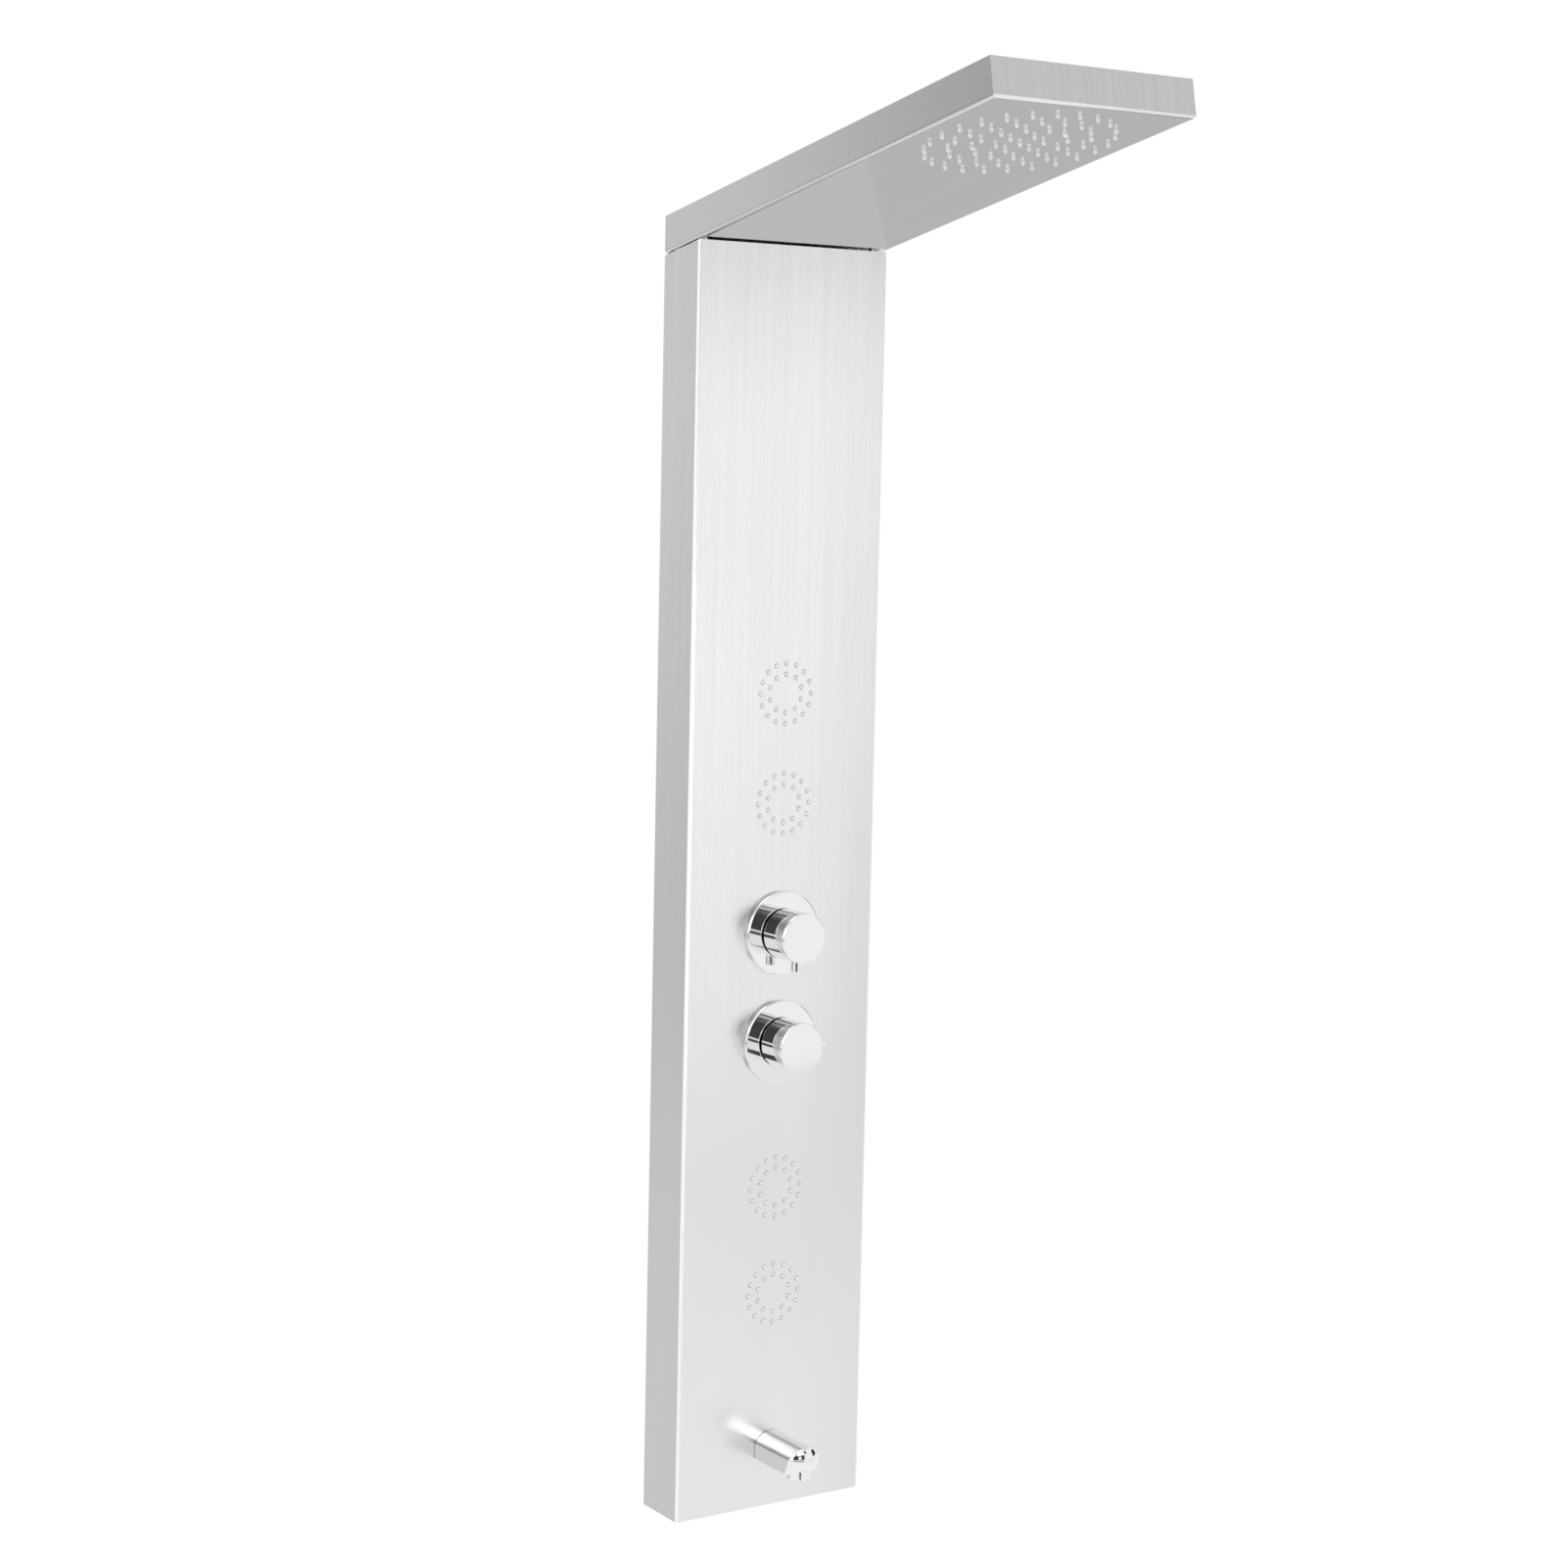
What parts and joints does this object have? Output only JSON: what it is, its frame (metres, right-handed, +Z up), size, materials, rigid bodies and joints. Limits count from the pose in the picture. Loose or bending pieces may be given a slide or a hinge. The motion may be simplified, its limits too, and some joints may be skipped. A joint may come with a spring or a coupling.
{
  "type": "shower panel column",
  "caption": "Wall-hung shower column of brushed steel with body jets, mixer and diverter knobs, tub spout and a sloping rain-head arm.",
  "frame": {"origin": "bottom centre of the column on the wall plane", "axes": "+Z up along the column, +Y into the wall, +X to the right as seen from in front"},
  "size_m": [0.2, 0.4734, 1.2649],
  "materials": {
    "brushed_steel": "vertically brushed",
    "bracket_steel": "plain rolled",
    "fastener_steel": "bright",
    "chrome": "polished",
    "brass": "cast and machined",
    "silicone": "translucent white",
    "seal_rubber": "black foam",
    "dark_plastic": "moulded",
    "white_plastic": "moulded",
    "hose": "braided sleeve",
    "ceramic": "lapped"
  },
  "bodies": {
    "panel": {"column_panel": "brushed_steel", "arm_pan": "brushed_steel", "arm_lid": "brushed_steel", "arm_spacers": "fastener_steel", "arm_screws": "fastener_steel", "arm_nuts": "fastener_steel", "rain_nozzle_mat": "silicone", "rain_chamber": "dark_plastic", "rain_chamber_nuts": "fastener_steel", "rain_hose": "hose", "jet_mat_1": "silicone", "jet_mat_2": "silicone", "jet_mat_3": "silicone", "jet_mat_4": "silicone", "jet_chamber_1": "dark_plastic", "jet_chamber_2": "dark_plastic", "jet_chamber_3": "dark_plastic", "jet_chamber_4": "dark_plastic", "jet_nuts": "fastener_steel", "jet_tee": "brass", "jet_riser_hose": "hose", "jet_lower_hose": "hose", "jet_link_hoses": "hose", "hose_clips": "fastener_steel", "hose_nuts": "brass", "mixer_body": "brass", "mixer_cartridge": "dark_plastic", "mixer_fixed_disc": "ceramic", "mixer_flange": "chrome", "hot_inlet": "brass", "cold_inlet": "brass", "transfer_pipe": "brass", "diverter_body": "brass", "diverter_cartridge": "dark_plastic", "diverter_fixed_disc": "ceramic", "diverter_flange": "chrome", "valve_ring_nuts": "brass", "valve_clamp_nuts": "brass", "flange_seals": "seal_rubber", "spout_body": "chrome", "aerator_housing": "chrome", "aerator_insert": "white_plastic", "spout_nut": "brass", "spout_elbow": "brass", "spout_hose": "hose", "upper_rail": "bracket_steel", "lower_rail": "bracket_steel", "upper_bracket": "bracket_steel", "lower_bracket": "bracket_steel"},
    "mixer_control": {"mixer_knob": "chrome", "mixer_pin": "chrome", "mixer_grub_screw": "fastener_steel", "mixer_spindle": "brass", "mixer_moving_disc": "ceramic"},
    "diverter_control": {"diverter_knob": "chrome", "diverter_pin": "chrome", "diverter_grub_screw": "fastener_steel", "diverter_spindle": "brass", "diverter_moving_disc": "ceramic"}
  },
  "joints": [
    {"name": "mixer_turn", "type": "hinge", "parent": "panel", "child": "mixer_control", "pos_m": [0, -0.058, 0.535], "axis": [0, -1, 0], "range_deg": [0, 140]},
    {"name": "diverter_turn", "type": "hinge", "parent": "panel", "child": "diverter_control", "pos_m": [0, -0.058, 0.435], "axis": [0, -1, 0], "continuous": true}
  ]
}
